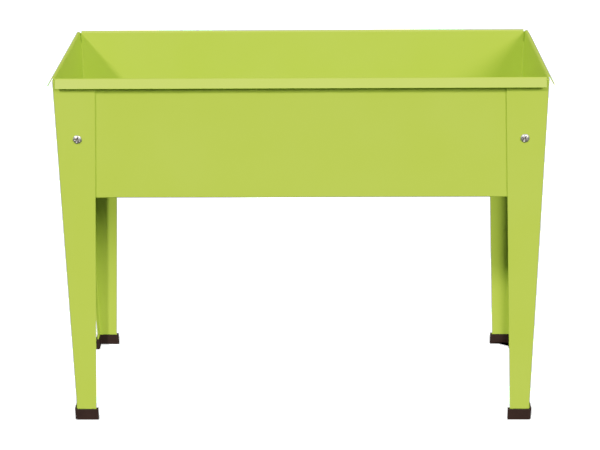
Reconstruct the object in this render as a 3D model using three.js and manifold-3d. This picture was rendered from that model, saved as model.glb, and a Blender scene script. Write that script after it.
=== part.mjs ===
// Raised planter on legs: a folded sheet-metal trough held up by four tapered angle legs.
// Millimetres, +Z up. X runs along the trough, the front faces -Y and the feet stand on Z = 0.
import * as THREE from "three";
import { mergeVertices } from "three/addons/utils/BufferGeometryUtils.js";
import Module from "manifold-3d";

const wasm = await Module();
wasm.setup();

// Overall sizes, over the outer faces of the legs and up to the rim.
const LENGTH = 750;
const DEPTH = 270;
const HEIGHT = 590;

// Clearance between pieces that touch.
const GAP = 0.3;
const FULL_TURN = 2 * Math.PI;
const QUARTER_TURN = Math.PI / 2;

// Legs: a folded angle. The flange on the long face is wider than the one on the short side,
// and both taper towards the floor.
const LEG_SHEET = 2;
const LEG_FOLD_RADIUS = 3.5;
const FACE_FLANGE = { atFloor: 31.5, atRim: 65.5 };
const SIDE_FLANGE = { atFloor: 19, atRim: 58 };

// Trough: a folded tray with welded corners.
const TROUGH_SHEET = 1.5;
const TROUGH_DEPTH = 195;
const TROUGH_LENGTH = LENGTH - 2 * (LEG_SHEET + GAP);
const TROUGH_WIDTH = DEPTH - 2 * (LEG_SHEET + GAP);
const TROUGH_CORNER_RADIUS = 3;
const FLOOR_FOLD_RADIUS = 2.5;

// Rim lip: each wall turns over a tight bend and runs outwards and down.
const LIP_INNER_RADIUS = 1.5;
const LIP_OUTER_RADIUS = LIP_INNER_RADIUS + TROUGH_SHEET;
const LIP_ANGLE = THREE.MathUtils.degToRad(31);
const LIP_FLAT = 13.6;
const LIP_END_INSET = 3.2;
const LIP_OVERLAP = 4;
const BEND_Z = HEIGHT - LIP_OUTER_RADIUS;

// Relief slit that separates the walls at each top corner, where the lips are folded.
const SLIT_WIDTH = 2;
const SLIT_DEPTH = 20;
const SLIT_REACH = 14;

// Drain holes in the floor.
const DRAIN_DIAMETER = 10;
const DRAIN_COLUMNS = 5;
const DRAIN_ROWS = 2;
const DRAIN_PITCH_X = 140;
const DRAIN_PITCH_Y = 140;

// Fasteners: M6, one through each flange of each leg.
const BOLT_FROM_FOLD = 32.5;
const BOLT_Z = HEIGHT - 97;
const SHANK_DIAMETER = 6;
const BOLT_LENGTH = 12;
const HEAD_DIAMETER = 13.8;
const HEAD_HEIGHT = 3.2;
const HEAD_EDGE = 0.7;
const RECESS_SPAN = 6.6;
const RECESS_WIDTH = 1.3;
const RECESS_DEPTH = 1.8;
const TIP_CHAMFER = 0.7;
const HOLE_DIAMETER = SHANK_DIAMETER + 2 * GAP;
const WASHER_DIAMETER = 12;
const WASHER_THICKNESS = 1.2;
const NUT_ACROSS_FLATS = 10;
const NUT_HEIGHT = 5;

// Foot caps: an L-shaped block with a slot for the end of the leg.
const CAP_HEIGHT = 20;
const CAP_FLOOR = 3;
const CAP_WALL = 3.1;
const CAP_INNER_WALL = 1.3;
const CAP_CORNER_RADIUS = 5;
const CAP_EDGE_RADIUS = 1;

// Roundness: facets in a quarter bend, in a lip bend and in a hole.
const BEND_FACETS = 4;
const LIP_FACETS = 8;
const HOLE_FACETS = 24;
const DOME_STEPS = 3;

const LEG_TOP = BEND_Z - GAP;
const LEG_BOTTOM = CAP_FLOOR + GAP;
const CUT_MARGIN = 5;

const limePaint = new THREE.MeshStandardMaterial({ color: 0xb4ca3c, roughness: 0.42, metalness: 0.0 });
const brownPlastic = new THREE.MeshStandardMaterial({ color: 0x3a2622, roughness: 0.5, metalness: 0.0 });
const zincSteel = new THREE.MeshStandardMaterial({ color: 0xc9ccd0, roughness: 0.25, metalness: 1.0 });

// Turns a closed geometry into a solid that can be joined and cut.
function toSolid(geometry) {
  const bare = geometry.clone();
  bare.deleteAttribute("normal");
  bare.deleteAttribute("uv");
  const welded = mergeVertices(bare, 1e-4);
  const vertProperties = new Float32Array(welded.attributes.position.array);
  const triVerts = new Uint32Array(welded.index.array);
  return new wasm.Manifold(new wasm.Mesh({ numProp: 3, vertProperties, triVerts }));
}

// Turns a solid back into a geometry.
function toGeometry(solid) {
  const mesh = solid.getMesh();
  const geometry = new THREE.BufferGeometry();
  geometry.setAttribute("position", new THREE.BufferAttribute(mesh.vertProperties, 3));
  geometry.setIndex(new THREE.BufferAttribute(mesh.triVerts, 1));
  geometry.computeVertexNormals();
  return geometry;
}

// An upright block. three.js gives an arc twice as many facets as curveSegments.
function extrudeUp(shape, bottom, top, facets = BEND_FACETS) {
  const geometry = new THREE.ExtrudeGeometry(shape, {
    depth: top - bottom,
    bevelEnabled: false,
    curveSegments: facets / 2,
  });
  return geometry.translate(0, 0, bottom);
}

// An upright block whose top and bottom edges are rounded inside the given outline.
function extrudeRounded(shape, bottom, top, edge) {
  const geometry = new THREE.ExtrudeGeometry(shape, {
    depth: top - bottom - 2 * edge,
    bevelEnabled: true,
    bevelThickness: edge,
    bevelSize: edge,
    bevelOffset: -edge,
    bevelSegments: 2,
    curveSegments: BEND_FACETS / 2,
  });
  return geometry.translate(0, 0, bottom + edge);
}

// A straight round cutter along +Z.
function drill(diameter, bottom, top) {
  const geometry = new THREE.CylinderGeometry(diameter / 2, diameter / 2, top - bottom, HOLE_FACETS);
  return geometry.rotateX(QUARTER_TURN).translate(0, 0, (bottom + top) / 2);
}

function roundedRectangle(length, width, radius) {
  const x = length / 2;
  const y = width / 2;
  const shape = new THREE.Shape();
  shape.moveTo(-x + radius, -y);
  shape.lineTo(x - radius, -y);
  shape.absarc(x - radius, -y + radius, radius, -QUARTER_TURN, 0, false);
  shape.lineTo(x, y - radius);
  shape.absarc(x - radius, y - radius, radius, 0, QUARTER_TURN, false);
  shape.lineTo(-x + radius, y);
  shape.absarc(-x + radius, y - radius, radius, QUARTER_TURN, Math.PI, false);
  shape.lineTo(-x, -y + radius);
  shape.absarc(-x + radius, -y + radius, radius, Math.PI, 3 * QUARTER_TURN, false);
  return shape;
}

// An L with its fold at the origin side and its arms along +X and +Y.
// Its outer faces lie at x = start and y = start, and its arms end at reachX and reachY.
function angleSection(start, reachX, reachY, thickness, outerRadius) {
  const inner = start + thickness;
  const innerRadius = Math.max(outerRadius - thickness, 0.5);
  const outerCentre = start + outerRadius;
  const innerCentre = inner + innerRadius;
  const shape = new THREE.Shape();
  shape.moveTo(outerCentre, start);
  shape.lineTo(reachX, start);
  shape.lineTo(reachX, inner);
  shape.lineTo(innerCentre, inner);
  shape.absarc(innerCentre, innerCentre, innerRadius, -QUARTER_TURN, -Math.PI, true);
  shape.lineTo(inner, reachY);
  shape.lineTo(start, reachY);
  shape.lineTo(start, outerCentre);
  shape.absarc(outerCentre, outerCentre, outerRadius, Math.PI, 3 * QUARTER_TURN, false);
  return shape;
}

function widthAt(flange, z) {
  return THREE.MathUtils.lerp(flange.atFloor, flange.atRim, z / HEIGHT);
}

// The rim lip's section: distance out from the wall's outer face against height.
function lipSection() {
  const centre = LIP_INNER_RADIUS;
  const along = new THREE.Vector2(Math.sin(LIP_ANGLE), -Math.cos(LIP_ANGLE)).multiplyScalar(LIP_FLAT);
  const outerEnd = new THREE.Vector2(
    centre + LIP_OUTER_RADIUS * Math.cos(LIP_ANGLE),
    BEND_Z + LIP_OUTER_RADIUS * Math.sin(LIP_ANGLE),
  );
  const innerEnd = new THREE.Vector2(
    centre + LIP_INNER_RADIUS * Math.cos(LIP_ANGLE),
    BEND_Z + LIP_INNER_RADIUS * Math.sin(LIP_ANGLE),
  );
  const shape = new THREE.Shape();
  shape.moveTo(0, BEND_Z - LIP_OVERLAP);
  shape.lineTo(0, BEND_Z);
  shape.absarc(centre, BEND_Z, LIP_INNER_RADIUS, Math.PI, LIP_ANGLE, true);
  shape.lineTo(innerEnd.x + along.x, innerEnd.y + along.y);
  shape.lineTo(outerEnd.x + along.x, outerEnd.y + along.y);
  shape.lineTo(outerEnd.x, outerEnd.y);
  shape.absarc(centre, BEND_Z, LIP_OUTER_RADIUS, LIP_ANGLE, Math.PI, false);
  shape.lineTo(-TROUGH_SHEET, BEND_Z - LIP_OVERLAP);
  return shape;
}

// The lip along one wall. The wall faces the direction turn, and its outer face is at distance.
function lipAlongWall(turn, distance, wallLength) {
  const length = wallLength - 2 * LIP_END_INSET;
  const geometry = new THREE.ExtrudeGeometry(lipSection(), {
    depth: length,
    bevelEnabled: false,
    curveSegments: LIP_FACETS / 2,
  });
  geometry.translate(0, 0, -length / 2);
  geometry.rotateX(QUARTER_TURN);
  geometry.translate(distance, 0, 0);
  return geometry.rotateZ(turn);
}

function buildTrough() {
  const floorZ = HEIGHT - TROUGH_DEPTH;
  const shell = extrudeRounded(
    roundedRectangle(TROUGH_LENGTH, TROUGH_WIDTH, TROUGH_CORNER_RADIUS),
    floorZ,
    HEIGHT + CUT_MARGIN,
    FLOOR_FOLD_RADIUS,
  );
  const inside = roundedRectangle(
    TROUGH_LENGTH - 2 * TROUGH_SHEET,
    TROUGH_WIDTH - 2 * TROUGH_SHEET,
    TROUGH_CORNER_RADIUS - TROUGH_SHEET,
  );
  const above = new THREE.BoxGeometry(LENGTH, DEPTH, 2 * CUT_MARGIN);
  above.translate(0, 0, BEND_Z + CUT_MARGIN);
  let solid = toSolid(shell)
    .subtract(toSolid(above))
    .subtract(toSolid(extrudeUp(inside, floorZ + TROUGH_SHEET, HEIGHT)));

  const walls = [
    [0, TROUGH_LENGTH / 2, TROUGH_WIDTH],
    [QUARTER_TURN, TROUGH_WIDTH / 2, TROUGH_LENGTH],
    [2 * QUARTER_TURN, TROUGH_LENGTH / 2, TROUGH_WIDTH],
    [3 * QUARTER_TURN, TROUGH_WIDTH / 2, TROUGH_LENGTH],
  ];
  for (const [turn, distance, wallLength] of walls) {
    solid = solid.add(toSolid(lipAlongWall(turn, distance, wallLength)));
  }

  const cutters = [];
  for (const sideX of [-1, 1]) {
    for (const sideY of [-1, 1]) {
      const slit = new THREE.BoxGeometry(SLIT_REACH, SLIT_WIDTH, SLIT_DEPTH + CUT_MARGIN);
      slit.rotateZ((sideX * sideY * Math.PI) / 4);
      slit.translate(
        (sideX * TROUGH_LENGTH) / 2,
        (sideY * TROUGH_WIDTH) / 2,
        HEIGHT - SLIT_DEPTH + (SLIT_DEPTH + CUT_MARGIN) / 2,
      );
      cutters.push(slit);
    }
  }
  for (const side of [-1, 1]) {
    const acrossLength = drill(HOLE_DIAMETER, -LENGTH, LENGTH).rotateY(QUARTER_TURN);
    cutters.push(acrossLength.translate(0, side * (DEPTH / 2 - BOLT_FROM_FOLD), BOLT_Z));
    const acrossWidth = drill(HOLE_DIAMETER, -DEPTH, DEPTH).rotateX(QUARTER_TURN);
    cutters.push(acrossWidth.translate(side * (LENGTH / 2 - BOLT_FROM_FOLD), 0, BOLT_Z));
  }
  for (let column = 0; column < DRAIN_COLUMNS; column += 1) {
    for (let row = 0; row < DRAIN_ROWS; row += 1) {
      const hole = drill(DRAIN_DIAMETER, floorZ - CUT_MARGIN, floorZ + CUT_MARGIN);
      hole.translate(
        (column - (DRAIN_COLUMNS - 1) / 2) * DRAIN_PITCH_X,
        (row - (DRAIN_ROWS - 1) / 2) * DRAIN_PITCH_Y,
        0,
      );
      cutters.push(hole);
    }
  }
  for (const cutter of cutters) {
    solid = solid.subtract(toSolid(cutter));
  }
  return toGeometry(solid);
}

// What is cut off a flange that runs along +X, from its slanted free edge outwards.
function taperCutter(flange) {
  const below = LEG_BOTTOM - CUT_MARGIN;
  const over = LEG_TOP + CUT_MARGIN;
  const shape = new THREE.Shape();
  shape.moveTo(widthAt(flange, below), below);
  shape.lineTo(flange.atRim + CUT_MARGIN, below);
  shape.lineTo(flange.atRim + CUT_MARGIN, over);
  shape.lineTo(widthAt(flange, over), over);
  const geometry = new THREE.ExtrudeGeometry(shape, { depth: 2 * CUT_MARGIN, bevelEnabled: false });
  return geometry.rotateX(QUARTER_TURN).translate(0, CUT_MARGIN, 0);
}

// A leg with its outer fold on the Z axis, one flange along +X and the other along +Y.
function buildLeg(alongX, alongY) {
  const section = angleSection(0, alongX.atRim + 1, alongY.atRim + 1, LEG_SHEET, LEG_FOLD_RADIUS);
  const holeX = drill(HOLE_DIAMETER, -CUT_MARGIN, CUT_MARGIN).rotateX(QUARTER_TURN);
  const holeY = drill(HOLE_DIAMETER, -CUT_MARGIN, CUT_MARGIN).rotateY(QUARTER_TURN);
  const solid = toSolid(extrudeUp(section, LEG_BOTTOM, LEG_TOP))
    .subtract(toSolid(taperCutter(alongX)))
    .subtract(toSolid(taperCutter(alongY).rotateZ(QUARTER_TURN)))
    .subtract(toSolid(holeX.translate(BOLT_FROM_FOLD, 0, BOLT_Z)))
    .subtract(toSolid(holeY.translate(0, BOLT_FROM_FOLD, BOLT_Z)));
  return toGeometry(solid);
}

// A foot cap around the end of a leg, in the leg's own frame.
function buildFootCap(alongX, alongY) {
  const start = -GAP - CAP_WALL;
  const slotX = widthAt(alongX, CAP_HEIGHT) + GAP;
  const slotY = widthAt(alongY, CAP_HEIGHT) + GAP;
  const slotWidth = LEG_SHEET + 2 * GAP;
  const thickness = CAP_WALL + slotWidth + CAP_INNER_WALL;
  const block = angleSection(start, slotX + CAP_WALL, slotY + CAP_WALL, thickness, CAP_CORNER_RADIUS);
  const slot = angleSection(-GAP, slotX, slotY, slotWidth, LEG_FOLD_RADIUS + GAP);
  const solid = toSolid(extrudeRounded(block, 0, CAP_HEIGHT, CAP_EDGE_RADIUS))
    .subtract(toSolid(extrudeUp(slot, CAP_FLOOR, CAP_HEIGHT + CUT_MARGIN)));
  return toGeometry(solid);
}

// A bolt along +Z. The leg's outer face is at z = 0 and the head is below it.
function buildBolt() {
  const headRadius = HEAD_DIAMETER / 2;
  const under = -GAP;
  const crown = HEAD_HEIGHT - HEAD_EDGE;
  const domeRadius = (headRadius * headRadius + crown * crown) / (2 * crown);
  const domeSpan = Math.asin(headRadius / domeRadius);
  const profile = [];
  for (let step = 0; step <= DOME_STEPS; step += 1) {
    const angle = (domeSpan * step) / DOME_STEPS;
    const height = HEAD_EDGE + crown - domeRadius * (1 - Math.cos(angle));
    profile.push(new THREE.Vector2(domeRadius * Math.sin(angle), under - height));
  }
  profile[0].x = 0;
  profile.push(new THREE.Vector2(headRadius, under));
  profile.push(new THREE.Vector2(SHANK_DIAMETER / 2, under));
  profile.push(new THREE.Vector2(SHANK_DIAMETER / 2, under + BOLT_LENGTH - TIP_CHAMFER));
  profile.push(new THREE.Vector2(SHANK_DIAMETER / 2 - TIP_CHAMFER, under + BOLT_LENGTH));
  profile.push(new THREE.Vector2(0, under + BOLT_LENGTH));
  const body = new THREE.LatheGeometry(profile, HOLE_FACETS, 0, FULL_TURN).rotateX(QUARTER_TURN);
  let solid = toSolid(body);
  const recessTop = under - HEAD_HEIGHT - CUT_MARGIN;
  const recessFloor = under - HEAD_HEIGHT + RECESS_DEPTH;
  for (const [alongX, alongY] of [[RECESS_SPAN, RECESS_WIDTH], [RECESS_WIDTH, RECESS_SPAN]]) {
    const wing = new THREE.BoxGeometry(alongX, alongY, recessFloor - recessTop);
    wing.translate(0, 0, (recessFloor + recessTop) / 2);
    solid = solid.subtract(toSolid(wing));
  }
  return toGeometry(solid);
}

function holeOutline() {
  return new THREE.Path().absarc(0, 0, HOLE_DIAMETER / 2, 0, FULL_TURN, true);
}

function buildWasher() {
  const shape = new THREE.Shape();
  shape.absarc(0, 0, WASHER_DIAMETER / 2, 0, FULL_TURN, false);
  shape.holes.push(holeOutline());
  const start = LEG_SHEET + TROUGH_SHEET + 2 * GAP;
  return extrudeUp(shape, start, start + WASHER_THICKNESS, HOLE_FACETS);
}

function buildNut() {
  const corner = NUT_ACROSS_FLATS / Math.sqrt(3);
  const shape = new THREE.Shape();
  for (let side = 0; side < 6; side += 1) {
    const angle = (side * FULL_TURN) / 6;
    const x = corner * Math.cos(angle);
    const y = corner * Math.sin(angle);
    if (side === 0) shape.moveTo(x, y);
    else shape.lineTo(x, y);
  }
  shape.holes.push(holeOutline());
  const start = LEG_SHEET + TROUGH_SHEET + 3 * GAP + WASHER_THICKNESS;
  return extrudeUp(shape, start, start + NUT_HEIGHT, HOLE_FACETS);
}

function namedMesh(name, geometry, material) {
  const mesh = new THREE.Mesh(geometry, material);
  mesh.name = name;
  return mesh;
}

const flanges = { face: FACE_FLANGE, side: SIDE_FLANGE };
const fastenerPieces = [["bolt", buildBolt()], ["washer", buildWasher()], ["nut", buildNut()]];

// A bolt with its washer and nut, pointing inwards through one flange.
function fastenerSet(corner, flange) {
  const set = new THREE.Group();
  for (const [piece, geometry] of fastenerPieces) {
    set.add(namedMesh(`${piece}_${corner}_${flange}`, geometry, zincSteel));
  }
  return set;
}

// One corner of the planter: the leg, its cap and the two fastener sets that hold it.
function cornerAssembly(name, x, y, turn, flangeAlongX, flangeAlongY) {
  const corner = new THREE.Group();
  const leg = buildLeg(flanges[flangeAlongX], flanges[flangeAlongY]);
  const cap = buildFootCap(flanges[flangeAlongX], flanges[flangeAlongY]);
  corner.add(namedMesh(`leg_${name}`, leg, limePaint));
  corner.add(namedMesh(`foot_cap_${name}`, cap, brownPlastic));
  const first = fastenerSet(name, flangeAlongX);
  first.position.set(BOLT_FROM_FOLD, 0, BOLT_Z);
  first.rotation.x = -QUARTER_TURN;
  const second = fastenerSet(name, flangeAlongY);
  second.position.set(0, BOLT_FROM_FOLD, BOLT_Z);
  second.rotation.y = QUARTER_TURN;
  corner.add(first, second);
  corner.position.set(x, y, 0);
  corner.rotation.z = turn;
  return corner;
}

const planter = new THREE.Group();
planter.add(namedMesh("trough", buildTrough(), limePaint));
planter.add(
  cornerAssembly("front_left", -LENGTH / 2, -DEPTH / 2, 0, "face", "side"),
  cornerAssembly("front_right", LENGTH / 2, -DEPTH / 2, QUARTER_TURN, "side", "face"),
  cornerAssembly("back_right", LENGTH / 2, DEPTH / 2, 2 * QUARTER_TURN, "face", "side"),
  cornerAssembly("back_left", -LENGTH / 2, DEPTH / 2, 3 * QUARTER_TURN, "side", "face"),
);

export default planter;
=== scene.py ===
"""Raised planter on legs: a lime powder-coated trough on four folded legs with brown foot caps.

Everything is in metres in the part's own frame: X runs along the trough, the front faces -Y and
the feet stand on Z = 0.
"""

import logging
import math
from collections.abc import Callable, Sequence
from dataclasses import dataclass, field
from enum import Enum

import bmesh
import bpy
from bpy.types import ID, Material, Mesh, Node, NodeSocket, NodeTree, Object
from mathutils import Matrix, Vector


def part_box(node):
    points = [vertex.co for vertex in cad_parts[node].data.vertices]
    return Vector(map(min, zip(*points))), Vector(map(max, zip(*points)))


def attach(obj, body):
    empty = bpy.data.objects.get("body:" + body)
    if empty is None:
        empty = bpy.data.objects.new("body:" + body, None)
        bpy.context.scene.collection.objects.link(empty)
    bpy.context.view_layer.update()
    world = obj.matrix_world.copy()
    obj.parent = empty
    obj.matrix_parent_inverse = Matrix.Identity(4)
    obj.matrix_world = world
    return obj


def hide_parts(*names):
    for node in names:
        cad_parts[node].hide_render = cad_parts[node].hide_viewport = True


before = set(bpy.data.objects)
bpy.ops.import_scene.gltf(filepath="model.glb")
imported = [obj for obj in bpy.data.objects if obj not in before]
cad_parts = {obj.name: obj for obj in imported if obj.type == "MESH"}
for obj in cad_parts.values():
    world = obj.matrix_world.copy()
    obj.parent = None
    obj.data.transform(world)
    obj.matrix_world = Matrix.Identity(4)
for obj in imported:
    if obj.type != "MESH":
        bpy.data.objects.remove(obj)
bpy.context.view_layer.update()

log = logging.getLogger("planter")

MM = 0.001
WELD_DISTANCE = 0.01 * MM
CLEARANCE = 0.3 * MM
LEG_SHEET = 2 * MM
TROUGH_SHEET = 1.5 * MM
BOLT_HOLE = 6.6 * MM
QUARTER_TURN = math.pi / 2
FULL_TURN = 2 * math.pi
BODY = "root"
EDGE_ATTRIBUTE = "sheet_edge"
AXIS_ATTRIBUTE = "axis"
COMBINED_CURVE = 3
WHITE = (1, 1, 1, 1)
NOISE_RANGE = (0.3, 0.7)

Flat = tuple[float, float]
Point = tuple[float, float, float]
Face = tuple[int, ...]


class Slot(Enum):
    """The material slots."""

    PAINT = "lime_powder_coat"
    PLASTIC = "brown_plastic"
    ZINC = "zinc_plated_steel"


class Flange(Enum):
    """The two sides of a folded leg: on the long face of the trough, or on its short side."""

    FACE = "face"
    SIDE = "side"


class Corner(Enum):
    """The four corners: a name, the side in X and in Y, and the leg's turn in quarter turns."""

    FRONT_LEFT = ("front_left", -1, -1, 0)
    FRONT_RIGHT = ("front_right", 1, -1, 1)
    BACK_RIGHT = ("back_right", 1, 1, 2)
    BACK_LEFT = ("back_left", -1, 1, 3)

    @property
    def label(self) -> str:
        """The corner's name as the part's nodes spell it."""
        return self.value[0]

    @property
    def sides(self) -> tuple[int, int]:
        """The signs of X and Y at this corner."""
        return self.value[1], self.value[2]

    @property
    def turn(self) -> float:
        """How far the corner's own axes are turned about Z, in radians."""
        return self.value[3] * QUARTER_TURN

    @property
    def flanges(self) -> tuple[Flange, Flange]:
        """The flanges that run along the corner's own X and Y."""
        if self.value[3] % 2 == 0:
            return Flange.FACE, Flange.SIDE
        return Flange.SIDE, Flange.FACE


# --- places


@dataclass(frozen=True)
class Layout:
    """Where the pieces are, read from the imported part."""

    half_length: float
    half_depth: float
    height: float
    trough_floor: float
    trough_half_length: float
    trough_half_width: float
    leg_bottom: float
    leg_top: float
    bolt_height: float
    bolt_from_fold: float

    @classmethod
    def from_part(cls) -> "Layout":
        """Reads the places from the part's nodes.

        Returns:
            The layout in metres.
        """
        trough_low, trough_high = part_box("trough")
        leg_low, leg_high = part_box("leg_back_right")
        washer_low, washer_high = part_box("washer_back_right_face")
        face_washer = (washer_low + washer_high) / 2
        return cls(
            half_length=leg_high.x,
            half_depth=leg_high.y,
            height=trough_high.z,
            trough_floor=trough_low.z,
            trough_half_length=leg_high.x - LEG_SHEET - CLEARANCE,
            trough_half_width=leg_high.y - LEG_SHEET - CLEARANCE,
            leg_bottom=leg_low.z,
            leg_top=leg_high.z,
            bolt_height=face_washer.z,
            bolt_from_fold=leg_high.x - face_washer.x,
        )

    def fold_line(self, corner: Corner) -> Matrix:
        """The place of a leg's outer fold.

        Args:
            corner: The leg's corner.

        Returns:
            The matrix from the corner's own axes to the part's frame.
        """
        side_x, side_y = corner.sides
        place = Matrix.Translation((side_x * self.half_length, side_y * self.half_depth, 0))
        return place @ Matrix.Rotation(corner.turn, 4, "Z")

    def bolt_station(self, corner: Corner, flange: Flange) -> tuple[Vector, Vector]:
        """Where a bolt passes through the outer face of a leg.

        Args:
            corner: The leg's corner.
            flange: The flange that the bolt passes through.

        Returns:
            The point on the leg's outer face, and the direction into the trough.
        """
        side_x, side_y = corner.sides
        if flange is Flange.FACE:
            inset = Vector((-side_x * self.bolt_from_fold, 0, self.bolt_height))
            inwards = Vector((0, -side_y, 0))
        else:
            inset = Vector((0, -side_y * self.bolt_from_fold, self.bolt_height))
            inwards = Vector((-side_x, 0, 0))
        fold = Vector((side_x * self.half_length, side_y * self.half_depth, 0))
        return fold + inset, inwards


# --- mesh tools


def arc(centre: Flat, radius: float, start: float, end: float, steps: int) -> list[Flat]:
    """Points along an arc from one angle to another, both ends included."""
    angles = [start + (end - start) * step / steps for step in range(steps + 1)]
    return [(centre[0] + radius * math.cos(a), centre[1] + radius * math.sin(a)) for a in angles]


def add_object(name: str, data: ID) -> Object:
    """Makes an object at the origin.

    Args:
        name: The object's name.
        data: Its mesh, lamp or camera.

    Returns:
        The object, linked to the scene.
    """
    made = bpy.data.objects.new(name, data)
    bpy.context.scene.collection.objects.link(made)
    return made


def mesh_object(name: str, points: Sequence[Point], faces: Sequence[Face]) -> Object:
    """Makes a mesh object at the origin.

    Args:
        name: The object's name.
        points: Its corners in the part's frame.
        faces: The faces, as numbers of corners.

    Returns:
        The object, linked to the scene.
    """
    mesh = bpy.data.meshes.new(name)
    mesh.from_pydata(points, [], faces)
    return add_object(name, mesh)


def lattice(rows: int, columns: int, closed: bool = False) -> list[Face]:
    """The four-sided faces between rows of points.

    Args:
        rows: How many rows there are.
        columns: How many points each row has.
        closed: Whether each row's last point is followed by its first.

    Returns:
        The faces, row by row. They point along (next in row) x (next row).
    """
    faces = []
    for row in range(rows - 1):
        for place in range(columns if closed else columns - 1):
            ahead = (place + 1) % columns
            low, high = row * columns, (row + 1) * columns
            faces.append((low + place, low + ahead, high + ahead, high + place))
    return faces


def merge_close(made: Object, outwards: bool = False) -> None:
    """Welds double points, drops loose ones and, on a closed mesh, turns the faces outwards.

    Args:
        made: The object.
        outwards: Whether the faces are turned outwards.
    """
    work = bmesh.new()
    work.from_mesh(made.data)
    bmesh.ops.remove_doubles(work, verts=work.verts, dist=WELD_DISTANCE)
    loose = [v for v in work.verts if not v.link_faces]
    bmesh.ops.delete(work, geom=loose, context="VERTS")
    if outwards:
        bmesh.ops.recalc_face_normals(work, faces=work.faces)
    work.to_mesh(made.data)
    work.free()


def thicken(made: Object, thickness: float) -> None:
    """Gives a sheet its thickness on the side away from its faces.

    Args:
        made: The object.
        thickness: The sheet's thickness.
    """
    solidify = made.modifiers.new("thickness", "SOLIDIFY")
    solidify.thickness = thickness
    solidify.offset = -1
    solidify.use_even_offset = True
    solidify.use_quality_normals = True


def round_edges(made: Object, radius: float, segments: int, angle: float = 50) -> None:
    """Rounds the sharp edges.

    Args:
        made: The object.
        radius: The width that the rounding takes.
        segments: Its number of facets.
        angle: The angle between faces, in degrees, from which an edge is rounded.
    """
    bevel = made.modifiers.new("rounded edges", "BEVEL")
    bevel.width = radius
    bevel.segments = segments
    bevel.limit_method = "ANGLE"
    bevel.angle_limit = math.radians(angle)
    bevel.use_clamp_overlap = True


def settle(source: Object, name: str, smooth_angle: float = 38) -> Object:
    """Turns an object and its modifiers into a plain mesh object at the origin.

    Args:
        source: The object, which is removed.
        name: The finished piece's name.
        smooth_angle: The angle, in degrees, from which an edge stays sharp.

    Returns:
        The finished piece.
    """
    bpy.context.view_layer.update()
    graph = bpy.context.evaluated_depsgraph_get()
    mesh = bpy.data.meshes.new_from_object(source.evaluated_get(graph), depsgraph=graph)
    source.modifiers.clear()
    bpy.data.objects.remove(source)
    mesh.name = name
    for polygon in mesh.polygons:
        polygon.use_smooth = True
    mesh.set_sharp_from_angle(angle=math.radians(smooth_angle))
    piece = add_object(name, mesh)
    weighted = piece.modifiers.new("even shading", "WEIGHTED_NORMAL")
    weighted.keep_sharp = True
    weighted.weight = 100
    mark_edges(mesh)
    return piece


def mark_edges(mesh: Mesh, narrow: float = 0.45 * MM, wide: float = 1.1 * MM) -> None:
    """Stores on each face how much of an edge it is: 1 on a narrow facet, 0 on a wide face.

    Args:
        mesh: The finished mesh.
        narrow: The width up to which a face is all edge.
        wide: The width from which it is none.
    """
    store = mesh.attributes.new(EDGE_ATTRIBUTE, "FLOAT", "FACE")
    values = []
    for polygon in mesh.polygons:
        corners = [mesh.vertices[i].co for i in polygon.vertices]
        around = sum((corners[i] - corners[i - 1]).length for i in range(len(corners)))
        width = 2 * polygon.area / max(around, 1e-9)
        values.append(min(1.0, max(0.0, (wide - width) / (wide - narrow))))
    store.data.foreach_set("value", values)


def dress(piece: Object, material: Material, nodes: Sequence[str]) -> None:
    """Paints a finished piece, ties it to the body and lets it stand for its nodes.

    Args:
        piece: The finished piece.
        material: Its finish.
        nodes: The part's nodes that it stands for.
    """
    piece.data.materials.clear()
    piece.data.materials.append(material)
    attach(piece, BODY)
    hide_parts(*nodes)
    log.info("%s: %d faces, stands for %d nodes", piece.name, len(piece.data.polygons), len(nodes))


# --- node sketches


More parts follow.
